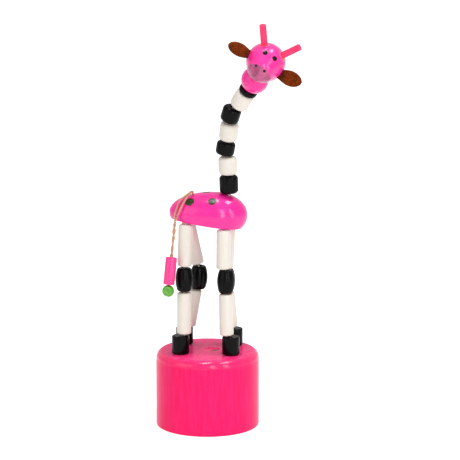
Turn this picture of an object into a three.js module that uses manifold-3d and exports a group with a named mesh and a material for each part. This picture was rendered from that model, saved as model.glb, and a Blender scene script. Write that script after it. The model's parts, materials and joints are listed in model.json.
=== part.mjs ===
import * as THREE from 'three';
import * as BufferGeometryUtils from 'three/addons/utils/BufferGeometryUtils.js';
import Module from 'manifold-3d';

// A push-up giraffe: turned wooden beads and dowels on cords that a sprung button keeps taut.
// Millimetres and degrees, +Z up, the giraffe's head towards +X, its near side towards -Y.
// The origin is the centre of the drum's foot. Every moving piece sits in a group at its pivot.

const wasm = await Module();
wasm.setup();

// Drum
const baseRadius = 21.8;
const baseHeight = 32.5;
const baseTopFillet = 3.2;
const baseFootFillet = 0.9;
const baseWall = 4.4;
const baseCeiling = 7;
const dimpleX = 2;
const dimpleRadius = 3.4;
const dimpleDepth = 0.9;

// Push button and spring
const buttonThickness = 6;
const buttonRecess = 0.8;
const buttonClearance = 0.4;
const buttonFillet = 0.8;
const pocketRadius = 2.1;
const pocketDepth = 3;
const springRadius = 7.5;
const springWire = 1.1;
const springTurns = 6;

// Cords, and the hole that every bead has for them
const cordDiameter = 0.9;
const knotRadius = 1.5;
const boreRadius = 1.3;
const pegDepth = 8;

// The least space between pieces that rest on each other
const seatGap = 0.3;

// Legs
const footSpanX = 21.2;
const footSpanY = 16.4;
const hoofRadius = 3.55;
const hoofFillet = 0.5;
const dowelRadius = 2.9;
const dowelFillet = 0.6;
const thighLength = 16.6;
const kneeHeight = 9.9;
const kneeRadius = 3.5;
const kneeEndRadius = 2.5;
const legSplay = 3;

// Body: a turned egg about a pitched axis, sawn flat below
const bodyRear = -16.05;
const bodyFront = 16.95;
const bodyWaist = 4;
const bodyRadius = 9.5;
const bodyAxisLift = 3.9;
const bodyPitch = 2.8;
const undersidePitch = 7.8;

// Neck
const neckX = 9.3;
const neckY = -1.2;
const neckSeatDepth = 0.7;
const neckSeatClearance = 0.4;
const neckBeadRadius = 3.75;
const neckBeadFillet = 1.2;
const collarDish = 1;
const collarFillet = 0.7;
const throatRadius = 5.6;

// Head, horns and ears
const craniumRadius = 8.1;
const muzzleRadius = 6.2;
const muzzleReach = 4;
const headToThroat = 12;
const headTurn = -85;
const headLift = 9;
const headRoll = -32;
const headBow = 40;
const hornRadius = 1.25;
const hornLength = 8.6;
const hornSocketDepth = 3;
const hornSpread = 33.5;
const hornRake = 8;
const hornClearance = 0.1;
const earLength = 9.3;
const earWidth = 5.7;
const earThickness = 1.4;
const earRootWidth = 4;
const earSlotDepth = 2;
const earForward = 2.5;
const earDrop = 1;

// Tail
const tailKnotRadius = 1;
const tailKnotDepth = 4;
const tailHoleRadius = 1.7;
const strandDiameter = 1;
const twineDiameter = 1.2;
const twineReach = 13.4;
const tailBeadRadius = 2.4;
const tailBeadLength = 11.4;
const tailBeadFillet = 0.5;
const tailBallRadius = 2.55;
const tailBoreRadius = 0.9;

// Facets
const roundSides = 16;
const filletSteps = 2;

const degree = Math.PI / 180;
const up = new THREE.Vector3(0, 0, 1);
const frontwards = new THREE.Vector3(1, 0, 0);
const rearwards = new THREE.Vector3(-1, 0, 0);

const paint = {
  drumPink: { color: 0xff2d70, roughness: 0.35 },
  bodyPink: { color: 0xff4baa, roughness: 0.25 },
  hornPink: { color: 0xff4b6e, roughness: 0.5 },
  black: { color: 0x141212, roughness: 0.4 },
  cream: { color: 0xf4ece4, roughness: 0.45 },
  felt: { color: 0x824010, roughness: 0.95 },
  twine: { color: 0xc9a077, roughness: 0.9 },
  green: { color: 0x58bf3c, roughness: 0.3 },
  bareWood: { color: 0xd9b98c, roughness: 0.7 },
  cord: { color: 0xe8e2d6, roughness: 0.8 },
  steel: { color: 0xb8bcc0, roughness: 0.3, metalness: 1 },
};

function material(finish) {
  return new THREE.MeshStandardMaterial({ metalness: 0, ...paint[finish] });
}

// Closed geometry to a solid, and back
function toSolid(geometry) {
  const bare = geometry.clone();
  bare.deleteAttribute('normal');
  bare.deleteAttribute('uv');
  const merged = BufferGeometryUtils.mergeVertices(bare, 1e-3);
  const index = merged.index.array;
  const triangles = [];
  for (let i = 0; i < index.length; i += 3) {
    const [a, b, c] = [index[i], index[i + 1], index[i + 2]];
    if (a !== b && b !== c && c !== a) {
      triangles.push(a, b, c);
    }
  }
  return new wasm.Manifold(new wasm.Mesh({
    numProp: 3,
    vertProperties: new Float32Array(merged.attributes.position.array),
    triVerts: new Uint32Array(triangles),
  }));
}

function toGeometry(solid) {
  const mesh = solid.getMesh();
  const geometry = new THREE.BufferGeometry();
  geometry.setAttribute('position', new THREE.BufferAttribute(mesh.vertProperties, 3));
  geometry.setIndex(new THREE.BufferAttribute(mesh.triVerts, 1));
  geometry.computeVertexNormals();
  return geometry;
}

function cut(geometry, ...tools) {
  return toGeometry(tools.reduce((solid, tool) => solid.subtract(toSolid(tool)), toSolid(geometry)));
}

function join(...geometries) {
  return toGeometry(geometries.map(toSolid).reduce((all, one) => all.add(one)));
}

// Turned shapes: an outline of [radius, height] pairs spun about Z
function turned(outline, sides = roundSides) {
  const points = outline.map(([radius, height]) => new THREE.Vector2(radius, height));
  return new THREE.LatheGeometry(points, sides).rotateX(Math.PI / 2);
}

function arc(centreRadius, centreHeight, size, from, to, steps) {
  const points = [];
  for (let i = 0; i <= steps; i += 1) {
    const angle = (from + ((to - from) * i) / steps) * degree;
    points.push([centreRadius + size * Math.cos(angle), centreHeight + size * Math.sin(angle)]);
  }
  return points;
}

// The side of a round bar with both edges rounded
function barSide(radius, length, fillet) {
  const edge = radius - fillet;
  return [
    ...arc(edge, fillet, fillet, -90, 0, filletSteps),
    ...arc(edge, length - fillet, fillet, 0, 90, filletSteps),
  ];
}

// The side of a barrel between two flat ends
function barrelSide(endRadius, midRadius, length) {
  const steps = 6;
  const side = [];
  for (let i = 0; i <= steps; i += 1) {
    const swell = Math.sin((Math.PI * i) / steps) ** 0.8;
    side.push([endRadius + (midRadius - endRadius) * swell, (length * i) / steps]);
  }
  return side;
}

function solidTurning(side, sides) {
  const foot = side[0][1];
  const top = side[side.length - 1][1];
  return turned([[0, foot], ...side, [0, top]], sides);
}

function drilledTurning(side, bore = boreRadius) {
  const foot = side[0][1];
  const top = side[side.length - 1][1];
  return turned([[bore, foot], ...side, [bore, top], [bore, foot]]);
}

// A rod between two points, run past both ends
function rodBetween(radius, from, to, past = 0, sides = 12) {
  const span = new THREE.Vector3().subVectors(to, from);
  const length = span.length();
  const middle = midway(from, to);
  return new THREE.CylinderGeometry(radius, radius, length + 2 * past, sides)
    .rotateX(Math.PI / 2)
    .applyQuaternion(standing(span.normalize()))
    .translate(...middle);
}

function ball(radius, centre, sides = 12) {
  return new THREE.SphereGeometry(radius, sides, (sides * 2) / 3).rotateX(Math.PI / 2).translate(...centre);
}

// A tube along points, in steps of two or three diameters
function tube(diameter, points) {
  const sides = 8;
  const route = new THREE.CatmullRomCurve3(points, false, 'centripetal');
  const steps = Math.max(2, Math.round(route.getLength() / (3 * diameter)));
  const section = new THREE.Shape();
  for (let i = 0; i < sides; i += 1) {
    const angle = (2 * Math.PI * i) / sides;
    const [x, y] = [(diameter / 2) * Math.cos(angle), (diameter / 2) * Math.sin(angle)];
    if (i === 0) {
      section.moveTo(x, y);
    } else {
      section.lineTo(x, y);
    }
  }
  return new THREE.ExtrudeGeometry(section, { steps, extrudePath: route, bevelEnabled: false });
}

// A direction from its lean towards +X and its lean towards -Y
function leaning(towardsFront, towardsNear) {
  const x = Math.sin(towardsFront * degree);
  const y = -Math.sin(towardsNear * degree);
  return new THREE.Vector3(x, y, Math.sqrt(1 - x * x - y * y));
}

function standing(direction) {
  return new THREE.Quaternion().setFromUnitVectors(up, direction);
}

function along(point, direction, distance) {
  return point.clone().addScaledVector(direction, distance);
}

function midway(from, to) {
  return new THREE.Vector3().addVectors(from, to).multiplyScalar(0.5);
}

function atHeight(point, height) {
  return new THREE.Vector3(point.x, point.y, height);
}

// The part of a direction that lies square to an axis
function squareTo(direction, axis) {
  return along(direction, axis, -direction.dot(axis)).normalize();
}

// Where the next piece's end stands, so that its rim comes a gap above the end below
function seatOn(end, axis, nextAxis, rim, gap) {
  const bend = new THREE.Vector3().subVectors(nextAxis, axis);
  if (bend.length() < 1e-6) {
    return along(end, axis, gap);
  }
  const edge = along(end, squareTo(bend, axis), rim);
  return along(along(edge, axis, gap), squareTo(bend, nextAxis), -rim);
}

// The pivot at the rim of the tilting piece's flat end, on the side that closes
function rimPivot(end, axis, rim, closing) {
  return along(end, squareTo(closing, axis), rim);
}

const giraffe = new THREE.Group();

// A group at a pivot, inside its parent's group
function pivotGroup(parent, pivot) {
  const group = new THREE.Group();
  parent.updateWorldMatrix(true, false);
  group.position.copy(parent.worldToLocal(pivot.clone()));
  parent.add(group);
  group.updateWorldMatrix(true, false);
  return group;
}

// A named mesh in a group, with its place and turn given in the whole frame
function addPiece(group, name, finish, geometry, place = new THREE.Vector3(), turn = null) {
  const mesh = new THREE.Mesh(geometry, material(finish));
  mesh.name = name;
  mesh.position.copy(group.worldToLocal(place.clone()));
  if (turn) {
    mesh.quaternion.copy(turn);
  }
  group.add(mesh);
}

// Legs, sawn and drilled by hand, so no two are quite alike. Inward is how far the shin stands
// from the middle of its hoof. The leans are for shin, knee and thigh, towards +X. The two
// numbers in off are how far knee and thigh sit off centre, towards +X. Play is the space at the
// ankle and the knee, and hip the space under the body.
const legs = {
  front_near: {
    end: 1, side: -1, hoof: 7.6, shin: 17.6, inward: 1.8,
    lean: [-1.2, 0, 0.2], off: [0, -1.1], play: 0.3, hip: 0.3,
  },
  front_far: {
    end: 1, side: 1, hoof: 7.2, shin: 15.3, inward: 1.4,
    lean: [-4.8, 0, 2.9], off: [-0.4, 0], play: 0.3, hip: 1.2,
  },
  rear_near: {
    end: -1, side: -1, hoof: 7.6, shin: 17.6, inward: 1.5,
    lean: [0, 0, 1.5], off: [0, 0.1], play: 0.6, hip: 0.6,
  },
  rear_far: {
    end: -1, side: 1, hoof: 7.2, shin: 16.2, inward: 1.8,
    lean: [10, 2, -12], off: [1.4, -0.8], play: 0.4, hip: 1.2,
  },
};

const hoofRim = hoofRadius - hoofFillet;
const dowelRim = dowelRadius - dowelFillet;

// Each piece's foot and axis, from the drum up to the thigh's foot
function legPlaces(leg) {
  const splay = leg.side * legSplay;
  const [footX, footY] = [(leg.end * footSpanX) / 2, (leg.side * footSpanY) / 2];
  const hoofFoot = new THREE.Vector3(footX, footY, baseHeight + seatGap);
  const [shinAxis, kneeAxis, thighAxis] = leg.lean.map((lean) => leaning(lean, splay));
  const hoofTop = along(hoofFoot, up, leg.hoof);
  const ankle = along(hoofTop, frontwards, -leg.end * leg.inward);
  const shinFoot = seatOn(ankle, up, shinAxis, dowelRim, leg.play);
  const shinTop = along(shinFoot, shinAxis, leg.shin);
  const kneeSeat = along(shinTop, squareTo(frontwards, shinAxis), leg.off[0]);
  const kneeFoot = seatOn(kneeSeat, shinAxis, kneeAxis, dowelRim, leg.play);
  const kneeTop = along(kneeFoot, kneeAxis, kneeHeight);
  const thighSeat = along(kneeTop, squareTo(frontwards, kneeAxis), leg.off[1]);
  const thighFoot = seatOn(thighSeat, kneeAxis, thighAxis, dowelRim, leg.play);
  return { hoofFoot, shinAxis, kneeAxis, thighAxis, ankle, shinFoot, shinTop, kneeFoot, kneeTop, thighFoot };
}

// The body stands on the leg that carries it, so its flat underside takes its height from there
const carrying = legPlaces(legs.front_near);
const carryingTop = along(carrying.thighFoot, carrying.thighAxis, thighLength);
const carryingEdge = rimPivot(carryingTop, carrying.thighAxis, dowelRim, frontwards);
const undersideSlope = Math.tan(undersidePitch * degree);
const undersideHeight = carryingEdge.z + legs.front_near.hip + undersideSlope * carryingEdge.x;

// The length that brings a thigh up to the underside, less the space at its hip
function thighReach(leg, places) {
  const edge = rimPivot(places.thighFoot, places.thighAxis, dowelRim, frontwards);
  const rise = undersideHeight - undersideSlope * edge.x - leg.hip - edge.z;
  return rise / (places.thighAxis.z + undersideSlope * places.thighAxis.x);
}

// A leg is hoof, shin, knee and thigh, each in a group at the rim it tips over
function buildLeg(name, leg) {
  const at = legPlaces(leg);
  const length = thighReach(leg, at);
  const thighTop = along(at.thighFoot, at.thighAxis, length);
  const holeFoot = atHeight(at.ankle, at.hoofFoot.z);

  const hoofGroup = pivotGroup(giraffe, rimPivot(at.hoofFoot, up, hoofRim, frontwards));
  const hoofBlank = solidTurning(barSide(hoofRadius, leg.hoof, hoofFillet)).translate(...at.hoofFoot);
  addPiece(hoofGroup, `hoof_${name}`, 'black', cut(hoofBlank, rodBetween(boreRadius, holeFoot, at.ankle, 1)));

  const ankleRim = Math.min(dowelRim, hoofRim + leg.end * leg.inward);
  const shinGroup = pivotGroup(hoofGroup, rimPivot(at.shinFoot, at.shinAxis, ankleRim, frontwards));
  const shin = drilledTurning(barSide(dowelRadius, leg.shin, dowelFillet));
  addPiece(shinGroup, `shin_${name}`, 'cream', shin, at.shinFoot, standing(at.shinAxis));

  const kneeGroup = pivotGroup(shinGroup, rimPivot(at.kneeFoot, at.kneeAxis, dowelRim, rearwards));
  const knee = drilledTurning(barrelSide(kneeEndRadius, kneeRadius, kneeHeight));
  addPiece(kneeGroup, `knee_${name}`, 'black', knee, at.kneeFoot, standing(at.kneeAxis));

  const thighGroup = pivotGroup(kneeGroup, rimPivot(at.thighFoot, at.thighAxis, dowelRim, rearwards));
  const thigh = drilledTurning(barSide(dowelRadius, length, dowelFillet));
  addPiece(thighGroup, `thigh_${name}`, 'cream', thigh, at.thighFoot, standing(at.thighAxis));

  // The cord passes each joint halfway between the holes that meet there
  const cordRoute = [
    holeFoot,
    midway(at.ankle, at.shinFoot),
    midway(at.shinFoot, at.shinTop),
    midway(at.shinTop, at.kneeFoot),
    midway(at.kneeFoot, at.kneeTop),
    midway(at.kneeTop, at.thighFoot),
    midway(at.thighFoot, thighTop),
    thighTop,
  ];
  const hipPivot = rimPivot(thighTop, at.thighAxis, dowelRim, frontwards);
  return { group: thighGroup, pivot: hipPivot, top: thighTop, axis: at.thighAxis, holeFoot, cordRoute };
}

const hips = {};
for (const [name, leg] of Object.entries(legs)) {
  hips[name] = buildLeg(name, leg);
}
const holeFeet = Object.values(hips).map((hip) => hip.holeFoot);

// Drum, with its hollow open below and a hole for each leg's cord
const hollowRadius = baseRadius - baseWall;
const hollowTop = baseHeight - baseCeiling;
const drum = turned([
  [0, hollowTop],
  [hollowRadius, hollowTop],
  [hollowRadius, 0],
  ...arc(baseRadius - baseFootFillet, baseFootFillet, baseFootFillet, -90, 0, filletSteps),
  ...arc(baseRadius - baseTopFillet, baseHeight - baseTopFillet, baseTopFillet, 0, 90, 4),
  [0, baseHeight],
], 40);
const dimple = new THREE.SphereGeometry(dimpleRadius, 16, 8)
  .rotateX(Math.PI / 2)
  .scale(1, 1, dimpleDepth / dimpleRadius)
  .translate(dimpleX, 0, baseHeight);
const drumDrills = holeFeet.map((foot) => rodBetween(boreRadius, atHeight(foot, hollowTop), foot, 1));
addPiece(giraffe, 'base', 'drumPink', cut(drum, dimple, ...drumDrills));

// Push button: a disc that slides in the drum, with a pocket for each cord's knot
const buttonTop = buttonRecess + buttonThickness;
const buttonRadius = hollowRadius - buttonClearance;
const pocketTop = buttonRecess + pocketDepth;
const buttonBlank = solidTurning(barSide(buttonRadius, buttonThickness, buttonFillet), 32)
  .translate(0, 0, buttonRecess);
const buttonDrills = holeFeet.flatMap((foot) => [
  rodBetween(boreRadius, atHeight(foot, buttonRecess), atHeight(foot, buttonTop), 1),
  rodBetween(pocketRadius, atHeight(foot, buttonRecess - 1), atHeight(foot, pocketTop)),
]);
const buttonGroup = pivotGroup(giraffe, new THREE.Vector3(0, 0, buttonRecess));
addPiece(buttonGroup, 'push_button', 'bareWood', cut(buttonBlank, ...buttonDrills));

// Spring: one open coil between the button and the drum's ceiling
const coilSteps = 8;
const coilSides = 5;

function coilCentres() {
  const foot = buttonTop + seatGap + springWire / 2;
  const top = hollowTop - seatGap - springWire / 2;
  const rings = springTurns * coilSteps;
  const centres = [];
  for (let i = 0; i <= rings; i += 1) {
    const angle = (2 * Math.PI * i) / coilSteps;
    const height = foot + ((top - foot) * i) / rings;
    centres.push(new THREE.Vector3(springRadius * Math.cos(angle), springRadius * Math.sin(angle), height));
  }
  return centres;
}

// The least distance between points at least half a turn apart, less the wire
function leastTurnGap(centres) {
  let least = Infinity;
  for (let i = 0; i < centres.length; i += 1) {
    for (let j = i + coilSteps / 2; j < centres.length; j += 1) {
      least = Math.min(least, centres[i].distanceTo(centres[j]) - springWire);
    }
  }
  return least;
}

function coil(centres) {
  const positions = [];
  centres.forEach((centre, i) => {
    const angle = (2 * Math.PI * i) / coilSteps;
    for (let side = 0; side < coilSides; side += 1) {
      const turn = (2 * Math.PI * side) / coilSides;
      const reach = (springWire / 2) * Math.cos(turn);
      const rise = (springWire / 2) * Math.sin(turn);
      positions.push(centre.x + reach * Math.cos(angle), centre.y + reach * Math.sin(angle), centre.z + rise);
    }
  });
  const index = [];
  const last = (centres.length - 1) * coilSides;
  for (let ring = 0; ring < last; ring += coilSides) {
    for (let side = 0; side < coilSides; side += 1) {
      const next = (side + 1) % coilSides;
      const [a, b] = [ring + side, ring + next];
      index.push(a, a + coilSides, b, b, a + coilSides, b + coilSides);
    }
  }
  for (let side = 1; side < coilSides - 1; side += 1) {
    index.push(0, side, side + 1, last, last + side + 1, last + side);
  }
  const geometry = new THREE.BufferGeometry();
  geometry.setAttribute('position', new THREE.Float32BufferAttribute(positions, 3));
  geometry.setIndex(index);
  geometry.computeVertexNormals();
  return geometry;
}

const springCentres = coilCentres();
console.log(`least gap between the spring's turns: ${leastTurnGap(springCentres).toFixed(2)} mm`);
addPiece(giraffe, 'spring', 'steel', coil(springCentres));

// Body, with a seat for the neck, a hole for the tail, and a hole over each leg
function eggOutline() {
  const steps = 7;
  const outline = [[0, bodyRear]];
  for (let i = 1; i <= steps; i += 1) {
    const angle = 90 * degree * (1 - i / steps);
    outline.push([bodyRadius * Math.cos(angle), bodyWaist - (bodyWaist - bodyRear) * Math.sin(angle)]);
  }
  for (let i = 1; i < steps; i += 1) {
    const angle = 90 * degree * (i / steps);
    outline.push([bodyRadius * Math.cos(angle), bodyWaist + (bodyFront - bodyWaist) * Math.sin(angle)]);
  }
  outline.push([0, bodyFront]);
  return outline;
}

const egg = turned(eggOutline(), 24)
  .rotateY((90 + bodyPitch) * degree)
  .translate(0, 0, undersideHeight + bodyAxisLift);
const sawWaste = new THREE.BoxGeometry(4 * bodyFront, 4 * bodyRadius, 2 * bodyRadius)
  .translate(0, 0, -bodyRadius)
  .rotateY(undersidePitch * degree)
  .translate(0, 0, undersideHeight);
const bodyTop = bodyAxisLift + bodyRadius;
const neckSeat = new THREE.Vector3(neckX, neckY, undersideHeight + bodyTop - neckSeatDepth);
const seatRadius = neckBeadRadius + neckSeatClearance;
const seatWaste = rodBetween(seatRadius, neckSeat, along(neckSeat, up, bodyRadius), 0, 20);
const fromUnderside = ([x, y, z]) => new THREE.Vector3(x, y, z + undersideHeight);
const tailKnot = [-6, -0.6, bodyTop - tailKnotDepth];
const tailKnotCentre = fromUnderside(tailKnot);
const tailHoleFoot = along(tailKnotCentre, up, -tailKnotRadius - seatGap);
const tailHole = rodBetween(tailHoleRadius, tailHoleFoot, along(tailHoleFoot, up, bodyRadius));
const hipDrills = Object.values(hips).map((hip) => {
  const end = hip === hips.front_near ? along(neckSeat, up, 1) : along(hip.top, up, pegDepth);
  return rodBetween(boreRadius, along(hip.top, hip.axis, -1), end);
});
const bodyGroup = pivotGroup(hips.front_near.group, hips.front_near.pivot);
addPiece(bodyGroup, 'body', 'bodyPink', cut(egg, sawWaste, seatWaste, tailHole, ...hipDrills));

// Neck: beads that lean more and more, each seated on the rim of the one below. The last is a
// collar. The shift is how far a bead sits off the centre of the one below, towards +X.
const neckBeads = [
  { length: 7.7, front: -2, near: 2, shift: 0 },
  { length: 7.6, front: -0.7, near: 3.4, shift: -0.2 },
  { length: 5.9, front: 10, near: 3, shift: -1.4 },
  { length: 7.8, front: 7.4, near: 18, shift: 0.4 },
  { length: 6.7, front: 17, near: 14, shift: -0.6 },
  { length: 7.9, front: 27.3, near: 24, shift: 1.75 },
  { length: 2.3, front: 28.5, near: 24, shift: 0.3 },
];
const foldTowards = new THREE.Vector3(Math.cos(25 * degree), -Math.sin(25 * degree), 0);
const neckRim = neckBeadRadius - neckBeadFillet;
const neckRoute = [];
const throatLift = throatRadius + seatGap - collarDish;

let neckParent = bodyGroup;
let neckEnd = neckSeat;
let neckAxis = up;
neckBeads.forEach(({ length, front, near, shift }, i) => {
  const isCollar = i === neckBeads.length - 1;
  const axis = leaning(front, near);
  const seat = along(neckEnd, squareTo(frontwards, neckAxis), shift);
  const foot = seatOn(seat, neckAxis, axis, neckRim, seatGap);
  const group = pivotGroup(neckParent, rimPivot(foot, axis, neckRim, foldTowards));
  const bead = drilledTurning(barSide(neckBeadRadius, length, isCollar ? collarFillet : neckBeadFillet));
  const dish = ball(throatRadius + seatGap, new THREE.Vector3(0, 0, length + throatLift), 20);
  const shape = isCollar ? cut(bead, dish) : bead;
  addPiece(group, `neck_bead_${i + 1}`, i % 2 === 0 ? 'black' : 'cream', shape, foot, standing(axis));
  neckRoute.push(midway(neckEnd, foot), along(foot, axis, length / 2));
  neckParent = group;
  neckEnd = along(foot, axis, length);
  neckAxis = axis;
});

// Throat ball, in the collar's dish and in the head's socket
const throatCentre = along(neckEnd, neckAxis, throatLift);
const headLean = leaning(24.5, 35.3);
const headCentre = along(throatCentre, headLean, headToThroat);
const throatGroup = pivotGroup(neckParent, throatCentre);
const throatDrills = [
  rodBetween(boreRadius, along(throatCentre, neckAxis, -throatRadius - 1), throatCentre),
  rodBetween(boreRadius, throatCentre, along(throatCentre, headLean, throatRadius + 1)),
];
addPiece(throatGroup, 'throat_ball', 'bodyPink', cut(ball(throatRadius, throatCentre, 20), ...throatDrills));

// Head: one egg that blends the cranium's ball into the muzzle's, nose towards its own +X
const headFrame = new THREE.Quaternion()
  .setFromEuler(new THREE.Euler(headRoll * degree, -headLift * degree, headTurn * degree, 'ZYX'))
  .multiply(new THREE.Quaternion().setFromAxisAngle(new THREE.Vector3(0, 1, 0), headBow * degree));

function headOutline() {
  const taper = Math.asin((craniumRadius - muzzleRadius) / muzzleReach) / degree;
  const back = arc(0, 0, craniumRadius, -90, taper, 9).slice(1);
  const front = arc(0, muzzleReach, muzzleRadius, taper, 90, 5).slice(0, -1);
  return [[0, -craniumRadius], ...back, ...front, [0, muzzleReach + muzzleRadius]];
}

function onHead(geometry) {
  return geometry.applyQuaternion(headFrame).translate(...headCentre);
}

// Horns: dowels glued into sockets at the top of the head, spread to both sides and raked back
function horn({ side }, radius, from, length) {
  const [spread, rake] = [side * hornSpread * degree, hornRake * degree];
  const direction = new THREE.Vector3(-Math.sin(rake), Math.sin(spread), Math.cos(spread)).normalize();
  const start = direction.clone().multiplyScalar(from);
  return onHead(rodBetween(radius, start, along(start, direction, length)));
}

// Ears: felt leaves let into slots in the sides of the head, each bent its own way
function ear({ side, raise }, grow) {
  const [root, half] = [earRootWidth / 2 + grow, earWidth / 2 + grow];
  const [start, tip] = [-earSlotDepth - grow, earLength + grow];
  const leaf = new THREE.Shape();
  leaf.moveTo(start, root);
  leaf.lineTo(start, -root);
  leaf.bezierCurveTo(earLength * 0.1, -half, earLength * 0.3, -half, earLength * 0.5, -half);
  leaf.bezierCurveTo(earLength * 0.85, -half, tip, -half * 0.5, tip, 0);
  leaf.bezierCurveTo(tip, half * 0.5, earLength * 0.85, half, earLength * 0.5, half);
  leaf.bezierCurveTo(earLength * 0.3, half, earLength * 0.1, half, start, root);
  const depth = earThickness + 2 * grow;
  const geometry = new THREE.ExtrudeGeometry(leaf, { depth, bevelEnabled: false, curveSegments: 4 })
    .translate(0, 0, -depth / 2)
    .rotateX(90 * degree)
    .rotateY(-raise * degree)
    .rotateZ(side * 90 * degree)
    .translate(earForward, side * (craniumRadius - 0.5), -earDrop)
    .rotateY(-headBow * degree);
  return onHead(geometry);
}

const headBlank = onHead(turned(headOutline(), 24).rotateY(90 * degree));
const throatSocket = ball(throatRadius + seatGap, throatCentre, 20);
const headDrill = rodBetween(boreRadius, throatCentre, along(headCentre, headLean, 2));
const sides = { left: { side: 1, raise: 12 }, right: { side: -1, raise: -5 } };
const headRecesses = Object.values(sides).flatMap((place) => [
  horn(place, hornRadius + hornClearance, craniumRadius - hornSocketDepth, hornLength),
  ear(place, seatGap),
]);
const headGroup = pivotGroup(throatGroup, throatCentre);
addPiece(headGroup, 'head', 'bodyPink', cut(headBlank, throatSocket, headDrill, ...headRecesses));
const hornFoot = craniumRadius - hornSocketDepth + seatGap;
for (const [name, place] of Object.entries(sides)) {
  const hornShape = horn(place, hornRadius, hornFoot, hornLength + hornSocketDepth - seatGap);
  addPiece(headGroup, `horn_${name}`, 'hornPink', hornShape);
  addPiece(headGroup, `ear_${name}`, 'felt', ear(place, 0));
}

// Cords: each starts in a knot under the button and runs up through a leg
function cordFrom(foot, points) {
  const knot = atHeight(foot, pocketTop - seatGap - knotRadius);
  const route = [knot, atHeight(foot, buttonTop), atHeight(foot, hollowTop), ...points];
  return join(ball(knotRadius, knot), tube(cordDiameter, route));
}

for (const [name, hip] of Object.entries(hips)) {
  const carries = name === 'front_near';
  const pegEnd = along(hip.top, up, pegDepth - 1);
  const beyond = carries ? [...neckRoute, throatCentre, along(headCentre, headLean, 1)] : [pegEnd];
  const cordShape = cordFrom(hip.holeFoot, [...hip.cordRoute, ...beyond]);
  addPiece(giraffe, carries ? 'cord_neck' : `cord_${name}`, 'cord', cordShape);
}

// Tail: two strands out of a hole and over the rump, then twisted into one with a bead and a ball.
// Their points have their heights from the underside.
const twistTop = [-12.9, -7.6, 1.2];
const strandRoutes = [
  [
    tailKnot, [-6, -0.7, 12.4], [-6.4, -1.5, 13.6], [-7.8, -2.9, 12.8], [-9.8, -4.1, 11.4],
    [-11.2, -4.9, 10], [-12.3, -6.3, 7.1], [-13.1, -7, 4.2], twistTop,
  ],
  [
    tailKnot, [-6, -0.7, 12.4], [-6, -1.8, 13.7], [-7.1, -3.4, 12.8], [-8.5, -5.4, 11],
    [-10.1, -7, 8.3], [-11.3, -7.6, 5.4], [-12.3, -7.6, 2.9], twistTop,
  ],
];
const strands = strandRoutes.map((route) => tube(strandDiameter, route.map(fromUnderside)));
const strandLoop = join(ball(tailKnotRadius, tailKnotCentre), ...strands);
addPiece(bodyGroup, 'tail_strands', 'twine', strandLoop);

const hang = leaning(4.7, -11.3).negate();
const twineTop = along(fromUnderside(twistTop), hang, strandDiameter / 2 + seatGap);
const beadTop = along(twineTop, hang, twineReach);
const beadFoot = along(beadTop, hang, tailBeadLength);
const ballCentre = along(beadFoot, hang, seatGap + tailBallRadius);
const twineEnd = along(ballCentre, hang, tailBallRadius / 2);
const tailGroup = pivotGroup(bodyGroup, fromUnderside(twistTop));
const tailBead = drilledTurning(barSide(tailBeadRadius, tailBeadLength, tailBeadFillet), tailBoreRadius);
addPiece(tailGroup, 'tail_bead', 'bodyPink', tailBead, beadTop, standing(hang));
const tailDrill = rodBetween(tailBoreRadius, beadFoot, along(twineEnd, hang, seatGap));
addPiece(tailGroup, 'tail_ball', 'green', cut(ball(tailBallRadius, ballCentre), tailDrill));
addPiece(tailGroup, 'tail_twine', 'twine', tube(twineDiameter, [twineTop, twineEnd]));

export default giraffe;
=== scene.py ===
import json
import math
import bmesh
import bpy
import numpy as np
from mathutils import Matrix, Vector


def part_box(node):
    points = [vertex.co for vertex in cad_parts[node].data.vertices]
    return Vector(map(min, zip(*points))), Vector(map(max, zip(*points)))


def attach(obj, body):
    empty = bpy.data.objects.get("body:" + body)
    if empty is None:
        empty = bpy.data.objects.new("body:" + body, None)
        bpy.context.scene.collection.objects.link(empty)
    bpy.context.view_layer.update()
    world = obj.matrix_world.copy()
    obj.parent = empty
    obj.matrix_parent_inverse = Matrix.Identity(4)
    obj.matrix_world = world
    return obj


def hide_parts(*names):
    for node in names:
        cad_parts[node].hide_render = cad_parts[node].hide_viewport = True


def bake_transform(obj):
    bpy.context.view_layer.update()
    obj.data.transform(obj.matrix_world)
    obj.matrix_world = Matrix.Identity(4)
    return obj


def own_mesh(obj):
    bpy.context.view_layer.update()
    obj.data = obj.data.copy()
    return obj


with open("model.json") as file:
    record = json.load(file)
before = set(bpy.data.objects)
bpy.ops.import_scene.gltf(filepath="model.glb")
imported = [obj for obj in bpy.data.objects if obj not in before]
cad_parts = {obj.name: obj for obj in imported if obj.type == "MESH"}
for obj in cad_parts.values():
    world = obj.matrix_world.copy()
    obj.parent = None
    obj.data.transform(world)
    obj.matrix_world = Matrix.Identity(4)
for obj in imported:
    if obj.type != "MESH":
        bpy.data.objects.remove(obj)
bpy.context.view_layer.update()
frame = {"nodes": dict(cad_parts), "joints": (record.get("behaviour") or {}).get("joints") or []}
scene = bpy.context.scene
mm = 0.001


# The studio: a long lens 1.2 m away and a little above the toy, a plain white floor that keeps
# the toy's shadow, and two pairs of softboxes, in front and overhead, that show on the gloss.
def link(obj):
    scene.collection.objects.link(obj)
    return obj


def srgb(red, green, blue):
    """A colour as a paint chart gives it, 0 to 255, for a shader socket."""
    shares = [level / 255 for level in (red, green, blue)]
    return (*[((s + 0.055) / 1.055) ** 2.4 if s > 0.04 else s / 12.92 for s in shares], 1)


lens = bpy.data.cameras.new("camera")
lens.lens = 231.3
lens.clip_start = 0.1
camera = link(bpy.data.objects.new("camera", lens))
camera.location = (0.1151, -1.2066, 0.343)
camera.rotation_euler = (math.radians(77.94), 0, math.radians(5))
scene.camera = camera
scene.view_settings.view_transform = "Standard"

toy_middle = Vector((0, 0, 0.09))


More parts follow.
